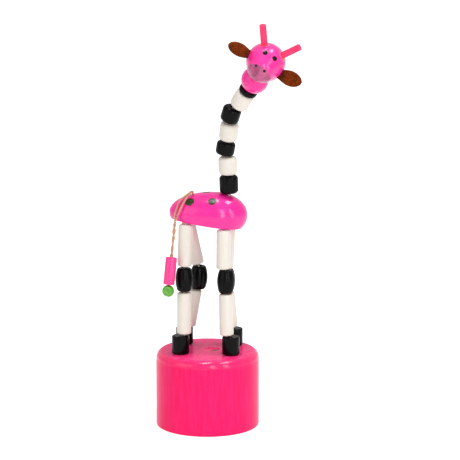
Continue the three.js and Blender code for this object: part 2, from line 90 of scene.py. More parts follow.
def softbox(name, centre, size, power):
    """A rectangular lamp that faces the middle of the toy."""
    lamp = bpy.data.lights.new(name, "AREA")
    lamp.shape = "RECTANGLE"
    lamp.size, lamp.size_y = size
    lamp.energy = power
    box = link(bpy.data.objects.new(name, lamp))
    box.location = centre
    box.rotation_euler = (toy_middle - Vector(centre)).to_track_quat("-Z", "Y").to_euler()


softbox("window_right", (0.88, -0.8, 0.42), (0.15, 0.9), 3)
softbox("window_front", (0.36, -1.14, 0.42), (0.15, 0.9), 3.8)
softbox("ceiling_left", (-0.04, -0.12, 1.2), (0.14, 0.45), 4.6)
softbox("ceiling_right", (0.5, -0.02, 1.15), (0.45, 0.14), 4.6)
softbox("fill_left", (-0.9, -0.8, 0.55), (0.9, 0.9), 3.1)


def seen_share(nodes, links):
    """1 for the rays that show a thing, straight or by reflection, and 0 for those that light it."""
    ray = nodes.new("ShaderNodeLightPath")
    share = ray.outputs["Is Camera Ray"]
    for name in ("Is Glossy Ray", "Is Transmission Ray"):
        add = nodes.new("ShaderNodeMath")
        add.operation, add.use_clamp = "ADD", True
        links.new(share, add.inputs[0])
        links.new(ray.outputs[name], add.inputs[1])
        share = add.outputs[0]
    return share


world = bpy.data.worlds.new("studio")
scene.world = world
world.use_nodes = True
world_nodes, world_links = world.node_tree.nodes, world.node_tree.links
daylight = world_nodes["Background"]
daylight.inputs["Color"].default_value = (1, 1, 1, 1)
daylight.inputs["Strength"].default_value = 0.3
backdrop = world_nodes.new("ShaderNodeBackground")
backdrop.inputs["Strength"].default_value = 1
pick = world_nodes.new("ShaderNodeMixShader")
world_links.new(seen_share(world_nodes, world_links), pick.inputs["Fac"])
world_links.new(daylight.outputs[0], pick.inputs[1])
world_links.new(backdrop.outputs[0], pick.inputs[2])
world_links.new(pick.outputs[0], world_nodes["World Output"].inputs["Surface"])

floor_half = 4
floor_mesh = bpy.data.meshes.new("floor")
floor_mesh.from_pydata([(x, y, 0) for x, y in ((-1, -1), (1, -1), (1, 1), (-1, 1))], [], [(0, 1, 2, 3)])
floor_mesh.transform(Matrix.Scale(floor_half, 4))
floor_paper = bpy.data.materials.new("floor_paper")
floor_paper.use_nodes = True
paper_nodes, paper_links = floor_paper.node_tree.nodes, floor_paper.node_tree.links
paper = paper_nodes["Principled BSDF"]
paper.inputs["Base Color"].default_value = srgb(246, 246, 246)
paper.inputs["Roughness"].default_value = 0.9
paper.inputs["Specular IOR Level"].default_value = 0.1
paper.inputs["Emission Color"].default_value = (1, 1, 1, 1)
paper_lift = paper_nodes.new("ShaderNodeMath")
paper_lift.operation = "MULTIPLY"
paper_lift.inputs[1].default_value = 0.75
paper_links.new(seen_share(paper_nodes, paper_links), paper_lift.inputs[0])
paper_links.new(paper_lift.outputs[0], paper.inputs["Emission Strength"])
floor_mesh.materials.append(floor_paper)
link(bpy.data.objects.new("floor", floor_mesh))


# The tail's twine: one length of tan cotton, knotted in a hole on the rump. Its two strands lie
# over the rump, meet below it, and run twisted together through the bead into the ball.
class Field:
    """A number or colour that changes over a surface, worked with in ordinary arithmetic."""

    def __init__(self, finish, socket):
        self.finish, self.socket = finish, socket

    def math(self, operation, *values):
        return self.finish.node("ShaderNodeMath", {"operation": operation}, dict(enumerate(values)))

    def __add__(self, other):
        return self.math("ADD", self, other)

    def __radd__(self, other):
        return self.math("ADD", other, self)

    def __sub__(self, other):
        return self.math("SUBTRACT", self, other)

    def __rsub__(self, other):
        return self.math("SUBTRACT", other, self)

    def __mul__(self, other):
        return self.math("MULTIPLY", self, other)

    def __rmul__(self, other):
        return self.math("MULTIPLY", other, self)

    def __pow__(self, other):
        return self.math("POWER", self, other)

    def __rpow__(self, other):
        return self.math("POWER", other, self)

    def sine(self):
        return self.math("SINE", self)

    def most(self, other):
        return self.math("MAXIMUM", self, other)

    def step(self, low, high):
        """0 below low, 1 above high, and a smooth rise between them."""
        settings = {"interpolation_type": "SMOOTHSTEP"}
        sockets = {"Value": self, "From Min": low, "From Max": high, "To Min": 0, "To Max": 1}
        return self.finish.node("ShaderNodeMapRange", settings, sockets)


class Finish:
    """A paint, cloth or wood: a Principled shader and the nodes that feed it."""

    def __init__(self, slot, **constants):
        self.slot = slot
        self.material = bpy.data.materials.new(slot)
        self.material.use_nodes = True
        self.tree = self.material.node_tree
        self.shader = self.tree.nodes["Principled BSDF"]
        for name, value in constants.items():
            self.shader.inputs[name.replace("_", " ").title().replace("Ior", "IOR")].default_value = value

    def node(self, kind, settings=None, sockets=None, output=0):
        made = self.tree.nodes.new(kind)
        for name, value in (settings or {}).items():
            setattr(made, name, value)
        for name, value in (sockets or {}).items():
            if isinstance(value, Field):
                self.tree.links.new(value.socket, made.inputs[name])
            else:
                made.inputs[name].default_value = value
        return Field(self, made.outputs[output])

    def attribute(self, name):
        return self.node("ShaderNodeAttribute", {"attribute_name": name}, output="Fac")

    def place(self):
        return self.node("ShaderNodeTexCoord", output="Object")

    def scaled(self, across, along):
        """The piece's own place, squeezed so that a pattern runs along its length."""
        return self.vector("MULTIPLY", self.place(), (across, across, along))

    def vector(self, operation, first, second, output=0):
        return self.node("ShaderNodeVectorMath", {"operation": operation}, {0: first, 1: second}, output)

    def noise(self, size, detail=3, roughness=0.5, place=None):
        """Cloudy noise with features of a size in metres, different on each piece."""
        sockets = {
            "Vector": place or self.place(),
            "W": self.attribute("piece"),
            "Scale": 1 / size,
            "Detail": detail,
            "Roughness": roughness,
        }
        return self.node("ShaderNodeTexNoise", {"noise_dimensions": "4D"}, sockets, "Fac")

    def mix(self, first, second, share):
        settings = {"data_type": "RGBA"}
        return self.node("ShaderNodeMix", settings, {0: share, 6: first, 7: second}, 2)

    def feed(self, name, field):
        self.tree.links.new(field.socket, self.shader.inputs[name])

    def relief(self, height, depth):
        """Bumps of a depth in metres, from a height between 0 and 1."""
        sockets = {"Height": height, "Strength": 1, "Distance": depth}
        self.feed("Normal", self.node("ShaderNodeBump", {}, sockets))


def mark_piece(mesh, seed):
    """One number on all points of a piece, which moves the noise so that no two show the same grain."""
    values = mesh.attributes.new("piece", "FLOAT", "POINT").data
    values.foreach_set("value", np.full(len(mesh.vertices), seed, np.float32))


def dress(obj, body, finish, *nodes):
    """Gives a piece its finish, the body it rides on and the CAD nodes it stands for."""
    obj.data.materials.clear()
    obj.data.materials.append(finish.material)
    mark_piece(obj.data, len(obj.name) * 1.7 + len(bpy.data.meshes) * 2.3)
    if nodes:
        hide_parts(*nodes)
    if body:
        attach(obj, body)


def smooth_route(points, count):
    """Points evenly along the Catmull-Rom curve through the given ones, and the curve's length."""
    steps = 24
    knots = [Vector(p) for p in points]
    knots = [2 * knots[0] - knots[1], *knots, 2 * knots[-1] - knots[-2]]
    fine = []
    for a, b, c, d in zip(knots, knots[1:], knots[2:], knots[3:]):
        t1 = (b - a).length ** 0.5
        t2 = t1 + (c - b).length ** 0.5
        t3 = t2 + (d - c).length ** 0.5
        for i in range(steps):
            t = t1 + (t2 - t1) * i / steps
            p = a.lerp(b, t / t1)
            q = b.lerp(c, (t - t1) / (t2 - t1))
            r = c.lerp(d, (t - t2) / (t3 - t2))
            before = p.lerp(q, t / t2)
            after = q.lerp(r, (t - t1) / (t3 - t1))
            fine.append(before.lerp(after, (t - t1) / (t2 - t1)))
    fine.append(knots[-2])
    reach = np.concatenate([[0], np.cumsum([(q - p).length for p, q in zip(fine, fine[1:])])])
    table = np.array(fine)
    places = np.linspace(0, reach[-1], count)
    path = [Vector([np.interp(at, reach, table[:, axis]) for axis in range(3)]) for at in places]
    return path, reach[-1]


def swept(name, path, diameter, plies, lay_length, sides=12):
    """A cord of twisted plies: a lobed section that turns as it follows the path."""
    groove = 0.13
    rings = len(path)
    side = (path[1] - path[0]).orthogonal().normalized()
    verts, faces, along, reach = [], [], [], 0
    for i, point in enumerate(path):
        ahead = (path[min(i + 1, rings - 1)] - path[max(i - 1, 0)]).normalized()
        side = (side - ahead * side.dot(ahead)).normalized()
        other = ahead.cross(side)
        reach += (point - path[i - 1]).length if i else 0
        twist = 2 * math.pi * reach / lay_length
        for k in range(sides):
            angle = 2 * math.pi * k / sides
            lobe = 1 - groove * (1 - abs(math.cos(plies * (angle - twist) / 2)))
            spoke = side * math.cos(angle) + other * math.sin(angle)
            verts.append(point + spoke * (diameter / 2 * lobe))
            along.append(reach)
    for i in range(rings - 1):
        for k in range(sides):
            a, b = i * sides + k, i * sides + (k + 1) % sides
            faces.append((a, b, b + sides, a + sides))
    faces += [tuple(reversed(range(sides))), tuple(range((rings - 1) * sides, rings * sides))]
    mesh = bpy.data.meshes.new(name)
    mesh.from_pydata(verts, [], faces)
    mesh.shade_smooth()
    mesh.attributes.new("along", "FLOAT", "POINT").data.foreach_set("value", np.array(along, np.float32))
    return link(bpy.data.objects.new(name, mesh))


def leaning(front, near):
    """A direction from its lean towards +X and its lean towards -Y, in degrees."""
    x, y = math.sin(math.radians(front)), -math.sin(math.radians(near))
    return Vector((x, y, math.sqrt(1 - x * x - y * y)))


saw_pitch = math.radians(7.8)
saw_normal = Vector((math.sin(saw_pitch), 0, math.cos(saw_pitch)))
saw_height = min(v.co.dot(saw_normal) for v in frame["nodes"]["body"].data.vertices) / saw_normal.z


def above_saw_cut(x, y, height):
    """A point given in millimetres, its height measured from where the body was sawn flat."""
    return Vector((x, y, height)) * mm + Vector((0, 0, saw_height))


strand_diameter, strand_pitch = 0.8 * mm, 7 * mm
ply_pitch, ply_length = 1.6 * mm, 0.9 * mm
tail_hole = (-6, -0.7)
tail_knot = (-6, -0.6, 9.4)
twist_top = (-12.9, -7.6, 1.2)
tail_hang = -leaning(4.7, -11.3)
twist_lead, twist_reach, twist_points = 0.8, 29.2, 12
strand_routes = {
    "strand_rear": [
        (-6, -0.7, 12.4), (-6.4, -1.5, 13.6), (-7.8, -2.9, 12.8), (-9.8, -4.1, 11.4),
        (-11.2, -4.9, 10), (-12.3, -6.3, 7.1), (-13.1, -7, 4.2),
    ],
    "strand_front": [
        (-6, -0.7, 12.4), (-6, -1.8, 13.7), (-7.1, -3.4, 12.8), (-8.5, -5.4, 11),
        (-10.1, -7, 8.3), (-11.3, -7.6, 5.4), (-12.3, -7.6, 2.9),
    ],
}
twine = Finish("twine", Roughness=0.9, Specular_IOR_Level=0.2)
fibres = twine.noise(0.00035, 4, 0.7)
ply = (twine.attribute("along") * (2 * math.pi / ply_length)).sine() * 0.5 + 0.5
twine_shade = twine.noise(0.004, 2)
tan = twine.mix(srgb(200, 140, 110), srgb(230, 184, 158), fibres.step(0.35, 0.65))
twine.feed("Base Color", twine.mix(tan, srgb(172, 116, 86), ply * 0.35 + twine_shade.step(0.5, 0.8) * 0.4))
twine.relief(ply * 0.6 + fibres * 0.4, 0.00012)

twist_start = above_saw_cut(*twist_top)
tail_side = tail_hang.cross(Vector((0, 1, 0))).normalized()
tail_front = tail_hang.cross(tail_side)
tail_pieces = []
for turn, (name, route) in zip((0, math.pi), strand_routes.items()):
    strand_points = [above_saw_cut(*tail_knot)] + [above_saw_cut(*p) for p in route]
    for i in range(twist_points):
        down = (twist_lead + twist_reach * i / (twist_points - 1)) * mm
        angle = turn + 2 * math.pi * down / strand_pitch
        off = (tail_side * math.cos(angle) + tail_front * math.sin(angle)) * (strand_diameter * 0.5)
        strand_points.append(twist_start + tail_hang * down + off)
    strand_path, strand_length = smooth_route(strand_points, 220)
    strand = swept(name, strand_path, strand_diameter, 2, ply_pitch)
    tail_pieces.append((strand, strand_points, strand_path, strand_length))


# Tail bead and tail ball: a pink dowel bead and a small green ball, turned, drilled and painted.
# The bead is a tight fit on the twine, and the twine's end is glued into the ball.
def arc(radius, height, size, start, end, steps=7):
    """Points of (radius, height) round part of a circle of a size, from a start to an end in degrees."""
    angles = [math.radians(start + (end - start) * i / steps) for i in range(steps + 1)]
    return [(radius + size * math.cos(a), height + size * math.sin(a)) for a in angles]


def bar_side(radius, length, fillet):
    """The side of a round bar whose two edges are rounded, with a narrow ring that keeps its ends flat."""
    ring = 0.06
    edge = radius - fillet
    foot, top = arc(edge, fillet, fillet, -90, 0), arc(edge, length - fillet, fillet, 0, 90)
    return [(edge - ring, 0), *foot, *top, (edge - ring, length)]


def bored(side, bore):
    """An outline with a hole down its middle, its mouths a little broken, and True for closed."""
    broken = 0.12
    foot, top = side[0][1], side[-1][1]
    down = [(bore, top - broken), (bore, foot + broken), (bore + broken, foot)]
    return [*down, *side, (bore + broken, top)], True


def solid(side):
    """An outline with no hole, which ends on the lathe's axis, and False for open."""
    return [(0, side[0][1]), *side, (0, side[-1][1])], False


sharp_edge = math.radians(38)


def finished(name, mesh_maker):
    """An object from a bmesh, smooth with its real edges left sharp."""
    mesh = bpy.data.meshes.new(name)
    bmesh.ops.recalc_face_normals(mesh_maker, faces=mesh_maker.faces)
    mesh_maker.to_mesh(mesh)
    mesh_maker.free()
    mesh.shade_smooth()
    mesh.set_sharp_from_angle(angle=sharp_edge)
    return link(bpy.data.objects.new(name, mesh))


def turned(name, outline, sides=72, turn=None):
    """A lathe job: an outline in millimetres spun about Z."""
    points, is_closed = outline
    maker = bmesh.new()
    rings = []
    for radius, height in points:
        count = sides if radius > 1e-6 else 1
        angles = [2 * math.pi * k / sides for k in range(count)]
        places = [(radius * mm * math.cos(a), radius * mm * math.sin(a), height * mm) for a in angles]
        rings.append([maker.verts.new(place) for place in places])
    for low, high in zip(rings, rings[1:] + rings[:1] if is_closed else rings[1:]):
        for k in range(sides):
            n = (k + 1) % sides
            if len(low) == 1 or len(high) == 1:
                corners = (low[0], high[n], high[k]) if len(low) == 1 else (low[k], low[n], high[0])
            else:
                corners = (low[k], low[n], high[n], high[k])
            maker.faces.new(corners)
    if turn:
        maker.transform(turn)
    return finished(name, maker)


def stand_of(node):
    """Foot, axis and length of a turned piece, read off its solid in the frame."""
    mesh = frame["nodes"][node].data
    normals = np.array([p.normal for p in mesh.polygons])
    areas = np.array([p.area for p in mesh.polygons])
    # Round a turned piece two of the three spreads of its faces' normals are alike. The axis is the third.
    spreads, ways = np.linalg.eigh((normals * areas[:, None]).T @ normals)
    axis = Vector(ways[:, 0 if spreads[1] - spreads[0] > spreads[2] - spreads[1] else 2])
    if axis.z < 0:
        axis.negate()
    points = np.array([v.co for v in mesh.vertices])
    side = axis.orthogonal().normalized()
    foot = Vector()
    for way in (side, axis.cross(side)):
        reach = points @ np.array(way)
        foot += way * (reach.min() + reach.max()) / 2
    reach = points @ np.array(axis)
    return foot + axis * reach.min(), axis, reach.max() - reach.min()


def stand(obj, foot, axis):
    """Puts a turned piece on its foot, along its axis."""
    obj.matrix_world = Matrix.Translation(foot) @ axis.to_track_quat("Z", "Y").to_matrix().to_4x4()
    return obj


tail_pink = Finish("body_paint", Roughness=0.3, Coat_Weight=0.25, Coat_Roughness=0.15)
tail_pink.material.name = "tail_bead_paint"
bead_streaks = tail_pink.noise(0.0006, 3, place=tail_pink.scaled(1, 0.12))
bead_pink = tail_pink.mix(srgb(250, 34, 134), srgb(252, 52, 150), bead_streaks.step(0.25, 0.75))
tail_pink.feed("Base Color", bead_pink)
tail_pink.feed("Roughness", tail_pink.noise(0.002) * 0.2 + 0.24)
tail_pink.relief(bead_streaks, 0.00002)

# The bead reaches a little further down than its solid, to the ball.
bead_radius, bead_fillet, bead_overhang, twine_bore = 2.4, 0.5, 0.25, 0.9
bead_foot, bead_axis, bead_length = stand_of("tail_bead")
bead_outline = bored(bar_side(bead_radius, bead_length / mm + bead_overhang, bead_fillet), twine_bore)
tail_bead = turned("tail_bead_turned", bead_outline)
stand(tail_bead, bead_foot - bead_axis * bead_overhang * mm, bead_axis)
dress(tail_bead, "tail", tail_pink, "tail_bead")

ball_radius, ball_gap = 2.55, 0.3
green_paint = Finish("green_paint", Roughness=0.28, Coat_Weight=0.4, Coat_Roughness=0.12)
leaf_cloud = green_paint.noise(0.0015, 4)
leaf_green = green_paint.mix(srgb(66, 148, 10), srgb(98, 184, 32), leaf_cloud.step(0.35, 0.68))
# Painted shadow: dark olive round the top of the ball, where the bead just above it shades it.
from_ball_top = green_paint.vector("DISTANCE", green_paint.place(), (0, 0, ball_radius * mm), "Value")
bead_shadow = (1 - (from_ball_top + leaf_cloud * 0.0006).step(0.0017, 0.0023)) * 0.85
green_paint.feed("Base Color", green_paint.mix(leaf_green, srgb(52, 50, 14), bead_shadow))
green_paint.relief(leaf_cloud, 0.00003)
tail_ball = turned("tail_ball_turned", bored(arc(0, 0, ball_radius, -68, 68, 30), twine_bore))
stand(tail_ball, bead_foot - bead_axis * (ball_radius + ball_gap) * mm, bead_axis)
dress(tail_ball, "tail", green_paint, "tail_ball")

for (strand, points, path, length), stands_for in zip(tail_pieces, ("tail_strands", "tail_twine")):
    dress(strand, None, twine, stands_for)
    [tuple(p) for p in path[::6]] + [tuple(path[-1])]
    [tail_bead, tail_ball] if stands_for == "tail_twine" else []
    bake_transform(strand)


# The drum: lathe-turned from one block, hollow below, painted hot pink. Its top shows the end
# grain through thinner, paler paint, and is painted paler still as painted light where the body
# and legs shade it. The lathe's centre has left a shallow dimple there, with painted shade in it.
def carve(obj, *tools):
    """Cuts the tools out of a piece, and throws them away."""
    for tool in tools:
        cut = obj.modifiers.new("cut", "BOOLEAN")
        cut.operation, cut.solver, cut.object = "DIFFERENCE", "EXACT", tool
    bpy.context.view_layer.update()
    graph = bpy.context.evaluated_depsgraph_get()
    carved = bpy.data.meshes.new_from_object(obj.evaluated_get(graph))
    obj.modifiers.clear()
    obj.data = carved
    carved.shade_smooth()
    carved.set_sharp_from_angle(angle=sharp_edge)
    for tool in tools:
        bpy.data.objects.remove(tool)
    return obj


def drill(start, end, radius):
    """A rod from one point to another, to cut a hole with."""
    span = Vector(end) - Vector(start)
    rod = turned("drill", solid([(radius, 0), (radius, span.length / mm)]), 40)
    return stand(rod, Vector(start), span.normalized())


leg_names = ("front_near", "front_far", "rear_near", "rear_far")
leg_stands = {
    name: {kind: stand_of(f"{kind}_{name}") for kind in ("hoof", "shin", "knee", "thigh")}
    for name in leg_names
}
cord_holes = {name: leg_stands[name]["shin"][0].to_2d() for name in leg_names}
cord_bore = 1.3

drum_radius, drum_height, drum_wall, drum_ceiling = 21.8, 32.5, 4.4, 7
hollow_radius, hollow_top = drum_radius - drum_wall, drum_height - drum_ceiling
foot_fillet, top_fillet, edge_ring = 0.9, 3.2, 0.4
drum_outline = [
    (0, hollow_top), (hollow_radius - 0.1, hollow_top), (hollow_radius, hollow_top - 0.1),
    (hollow_radius, 0.3), (hollow_radius + 0.3, 0),
    *arc(drum_radius - foot_fillet, foot_fillet, foot_fillet, -90, 0),
    (drum_radius, 3), (drum_radius, 10), (drum_radius, 20),
    (drum_radius, drum_height - top_fillet - edge_ring),
    *arc(drum_radius - top_fillet, drum_height - top_fillet, top_fillet, 0, 90, 12),
    (drum_radius - top_fillet - edge_ring, drum_height),
    (12, drum_height), (6, drum_height), (0, drum_height),
]
drum = turned("drum", (drum_outline, False), 160)
dimple_radius, dimple_depth, dimple_shift = 3.4, 0.9, 2
dimple_shape = (
    Matrix.Translation((dimple_shift * mm, 0, drum_height * mm))
    @ Matrix.Diagonal((1, 1, dimple_depth / dimple_radius, 1))
)
dimple = turned("dimple", (arc(0, 0, dimple_radius, -90, 90, 24), False), 48, dimple_shape)
drum_drills = []
for xy in cord_holes.values():
    drill_start, drill_end = (*xy, (hollow_top - 1) * mm), (*xy, (drum_height + 1) * mm)
    drum_drills.append(drill(drill_start, drill_end, cord_bore * mm))
carve(drum, dimple, *drum_drills)

drum_paint = Finish("drum_paint", Specular_IOR_Level=0.05, Coat_Roughness=0.15)
drum_rise = drum_paint.node("ShaderNodeSeparateXYZ", {}, {0: drum_paint.place()}, "Z")
top_face = drum_rise.step((drum_height - 0.7) * mm, drum_height * mm)
end_grain = drum_paint.noise(0.0011, 5, 0.65)
pores = drum_paint.noise(0.0004, 2, 0.6)
side_grain = drum_paint.noise(0.0009, 4, 0.6, drum_paint.scaled(1, 0.08))
wiped = drum_paint.noise(0.009, 3, 0.55)
side_pink = drum_paint.mix(srgb(250, 16, 98), srgb(253, 34, 116), side_grain.step(0.3, 0.72))
# The top is paler: partly the end grain under thinner paint, partly painted light that makes up for the
# shade of the body and legs on it.
top_pink = drum_paint.mix(srgb(252, 30, 110), srgb(255, 84, 156), end_grain.step(0.32, 0.7))
top_pink = drum_paint.mix(top_pink, srgb(248, 34, 112), wiped.step(0.5, 0.72) * 0.6)
top_pink = drum_paint.mix(top_pink, srgb(196, 26, 78), pores.step(0.6, 0.78) * 0.5)
# Painted shade: a dark red patch on the dimple's back wall, where the dimple lies in shade, with less coat
# there.
pit = ((dimple_shift + 0.9) * mm, 0.4 * mm, (drum_height - 0.7) * mm)
pit_edge = drum_paint.vector("DISTANCE", drum_paint.place(), pit, "Value")
pit_shade = (1 - pit_edge.step(0.0011, 0.0023)) * 0.85
drum_pink = drum_paint.mix(side_pink, top_pink, top_face)
drum_paint.feed("Base Color", drum_paint.mix(drum_pink, srgb(104, 0, 34), pit_shade))
drum_rim = drum_rise.step((drum_height - 4) * mm, (drum_height - 2) * mm) * (1 - top_face)
drum_gloss = drum_rim * 0.6 + top_face * (1 - pit_shade) * 0.1 + 0.14 - pit_shade * 0.14
drum_paint.feed("Coat Weight", drum_gloss)
drum_paint.feed("Roughness", top_face * 0.22 + side_grain * 0.16 + 0.24)
drum_paint.relief(end_grain * top_face * 0.9 + side_grain * 0.1, 0.00005)
dress(drum, "base", drum_paint, "base")


# Push button and spring: a sanded disc of bare wood that slides in the drum, with a pocket for
# each cord's knot, and a steel coil that presses it down and so keeps the cords taut.
button_clearance, button_recess, button_thickness, button_fillet = 0.4, 0.8, 6, 0.8
pocket_depth, pocket_radius = 3, 2.1
button_side = bar_side(hollow_radius - button_clearance, button_thickness, button_fillet)
lift_button = Matrix.Translation((0, 0, button_recess * mm))
button = turned("button_disc", solid(button_side), 120, lift_button)
pocket_top = (button_recess + pocket_depth) * mm
button_cuts = [drill((*xy, 0), (*xy, 9 * mm), cord_bore * mm) for xy in cord_holes.values()]
button_cuts += [drill((*xy, 0), (*xy, pocket_top), pocket_radius * mm) for xy in cord_holes.values()]
carve(button, *button_cuts)
bare_wood = Finish("bare_wood", Roughness=0.62, Specular_IOR_Level=0.35)
wood_bend = bare_wood.noise(0.012, 2, 0.5)
wood_across = bare_wood.node("ShaderNodeSeparateXYZ", {}, {0: bare_wood.place()}, "X")
ring_rate, ring_waver = 3200, 9
growth = ((wood_across * ring_rate + wood_bend * ring_waver).sine() * 0.5 + 0.5) ** 3
wood_fleck = bare_wood.noise(0.0005, 4, 0.7)
wood_tone = bare_wood.mix(srgb(222, 190, 146), srgb(190, 148, 100), growth * 0.6)
bare_wood.feed("Base Color", bare_wood.mix(wood_tone, srgb(170, 128, 84), wood_fleck.step(0.58, 0.8) * 0.4))
bare_wood.relief(growth * 0.5 + wood_fleck * 0.5, 0.00005)
dress(button, "button", bare_wood, "push_button")

wire, coil_radius, coil_turns, coil_gap, turn_points = 1.1, 7.5, 6, 0.3, 40
coil_foot = button_recess + button_thickness + coil_gap + wire / 2
coil_top = hollow_top - coil_gap - wire / 2
coil_path = []
for i in range(coil_turns * turn_points + 1):
    angle = 2 * math.pi * i / turn_points
    height = coil_foot + (coil_top - coil_foot) * i / (coil_turns * turn_points)
    coil_path.append(Vector((coil_radius * math.cos(angle), coil_radius * math.sin(angle), height)) * mm)
spring = swept("spring_coil", coil_path, wire * mm, 0, 1)
spring_steel = Finish("spring_steel", Metallic=1, Base_Color=srgb(186, 190, 196))
drawn = spring_steel.noise(0.0008, 3)
spring_steel.feed("Roughness", drawn * 0.25 + 0.2)
spring_steel.relief(drawn, 0.00002)
dress(spring, "base", spring_steel, "spring")
press = next(joint for joint in frame["joints"] if joint["name"] == "button_press")["range_m"][1] / mm
squeezed = (coil_top - coil_foot - press) / (coil_top - coil_foot)
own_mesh(spring)


# Legs: a black hoof, a white shin, a black barrel for a knee and a white thigh, strung like
# beads. Each is sawn from dowel, tumbled round at the edges, dipped in paint and drilled.
black_paint = Finish("black_paint", Specular_IOR_Level=0.03, Coat_Weight=0.12, Coat_Roughness=0.2)
black_cloud = black_paint.noise(0.002, 4, 0.6)
black_scuff = black_paint.noise(0.0007, 5, 0.7, black_paint.scaled(1, 0.3))
black_tone = black_paint.mix(srgb(2, 1, 1), srgb(8, 6, 6), black_cloud.step(0.35, 0.75))
black_tone = black_paint.mix(black_tone, srgb(40, 35, 33), black_scuff.step(0.66, 0.8) * 0.3)
foot_height = black_paint.node("ShaderNodeSeparateXYZ", {}, {0: black_paint.place()}, "Z")
# A reddish-brown band at each black piece's foot: partly paint worn off the wood, partly a painted
# reflection of the pink drum below the hooves.
rim_wear_and_reflection = (1 - (foot_height + black_scuff * 0.0003).step(0.0003, 0.0006)) * 0.6
black_paint.feed("Base Color", black_paint.mix(black_tone, srgb(92, 40, 30), rim_wear_and_reflection))
black_paint.feed("Roughness", black_cloud * 0.2 + 0.16)
black_paint.relief(black_scuff, 0.00002)

cream_paint = Finish("cream_paint", Specular_IOR_Level=0.45, Coat_Weight=0.1, Coat_Roughness=0.3)
dowel_grain = cream_paint.noise(0.0006, 4, 0.6, cream_paint.scaled(1, 0.06))
cream_cloud = cream_paint.noise(0.004, 3)
cream_tone = cream_paint.mix(srgb(227, 220, 208), srgb(233, 228, 218), dowel_grain.step(0.25, 0.75))
cream_tone = cream_paint.mix(cream_tone, srgb(233, 213, 203), cream_cloud.step(0.5, 0.8) * 0.3)
cream_paint.feed("Base Color", cream_tone)
cream_paint.feed("Roughness", dowel_grain * 0.2 + 0.34)
cream_paint.relief(dowel_grain, 0.00002)


def barrel_side(end_radius, mid_radius, length, steps=28):
    """The side of a barrel between two flat ends."""
    side = [(end_radius - 0.25, 0), (end_radius - 0.06, 0.05)]
    for i in range(1, steps):
        swell = math.sin(math.pi * i / steps) ** 0.66
        side.append((end_radius + (mid_radius - end_radius) * swell, length * i / steps))
    return side + [(end_radius - 0.06, length - 0.05), (end_radius - 0.25, length)]


# The dip leaves a coat of paint 0.1 mm thick on the sawn wood.
coat = 0.1
hoof_radius, dowel_radius = 3.55 + coat, 2.9 + coat
knee_end_radius, knee_mid_radius = 2.5 + coat, 3.5 + 2 * coat
hoof_fillet, dowel_fillet = 0.5, 0.8
for leg in leg_names:
    stands = leg_stands[leg]
    foot, axis, length = stands["hoof"]
    hoof_side = bar_side(hoof_radius, length / mm, hoof_fillet)
    hoof = stand(turned(f"hoof_turned_{leg}", solid(hoof_side)), foot, axis)
    hole = cord_holes[leg]
    carve(hoof, drill((*hole, foot.z - mm), (*hole, foot.z + length + mm), cord_bore * mm))
    dress(hoof, f"hoof_{leg}", black_paint, f"hoof_{leg}")
    for kind in ("shin", "thigh"):
        foot, axis, length = stands[kind]
        dowel_side = bar_side(dowel_radius, length / mm, dowel_fillet)
        dowel = turned(f"{kind}_dowel_{leg}", bored(dowel_side, cord_bore))
        dress(stand(dowel, foot, axis), f"{kind}_{leg}", cream_paint, f"{kind}_{leg}")
    foot, axis, length = stands["knee"]
    knee_side = barrel_side(knee_end_radius, knee_mid_radius, length / mm)
    knee = turned(f"knee_barrel_{leg}", bored(knee_side, cord_bore))
    dress(stand(knee, foot, axis), f"knee_{leg}", black_paint, f"knee_{leg}")


# Body: a turned egg sawn flat underneath, dipped in glossy pink with dark olive spots dabbed on.
# It has a flat seat for the neck, a small hole for the tail, and a cord hole over each leg.
body_rear, body_front, body_waist, body_radius = -16.05, 16.95, 4, 9.5
body_lift, body_pitch = 3.9, 2.8
egg_steps = 40
egg_outline = [(0, body_rear)]
for i in range(1, egg_steps):
    angle = math.pi / 2 * (1 - i / egg_steps)
    height = body_waist - (body_waist - body_rear) * math.sin(angle)
    egg_outline.append((body_radius * math.cos(angle), height))
for i in range(egg_steps):
    angle = math.pi / 2 * i / egg_steps
    height = body_waist + (body_front - body_waist) * math.sin(angle)
    egg_outline.append((body_radius * math.cos(angle), height))
egg_outline.append((0, body_front))
lay_egg = (
    Matrix.Translation((0, 0, saw_height + body_lift * mm))
    @ Matrix.Rotation(math.radians(90 + body_pitch), 4, "Y")
)
body = turned("body_egg", (egg_outline, False), 128, lay_egg)
maker = bmesh.new()
maker.from_mesh(body.data)
saw = bmesh.ops.bisect_plane(
    maker, geom=[*maker.verts, *maker.edges, *maker.faces], dist=1e-6,
    plane_co=(0, 0, saw_height), plane_no=saw_normal, clear_inner=True,
)
rim = [e for e in saw["geom_cut"] if isinstance(e, bmesh.types.BMEdge)]
bmesh.ops.edgeloop_fill(maker, edges=rim)
rim_fillet = 0.35 * mm
bmesh.ops.bevel(maker, geom=rim, offset=rim_fillet, segments=4, affect="EDGES", clamp_overlap=True)
maker.to_mesh(body.data)
maker.free()

neck_stands = [stand_of(f"neck_bead_{i}") for i in range(1, 8)]
seat_drop, seat_radius, tail_bore = 0.35, 4, 1.2
neck_seat = neck_stands[0][0] - Vector((0, 0, seat_drop * mm))
hip_drills = []
for leg in leg_names:
    foot, axis, length = leg_stands[leg]["thigh"]
    top = foot + axis * length
    hip_drills.append(drill(top - axis * mm, top + Vector((0, 0, 7 * mm)), cord_bore * mm))
neck_cut = drill(neck_seat, neck_seat + Vector((0, 0, 12 * mm)), seat_radius * mm)
neck_hole = drill(neck_seat - Vector((0, 0, 6 * mm)), neck_seat + Vector((0, 0, mm)), cord_bore * mm)
tail_drill = drill(above_saw_cut(*tail_hole, 8), above_saw_cut(*tail_hole, 18), tail_bore * mm)
carve(body, neck_cut, neck_hole, tail_drill, *hip_drills)

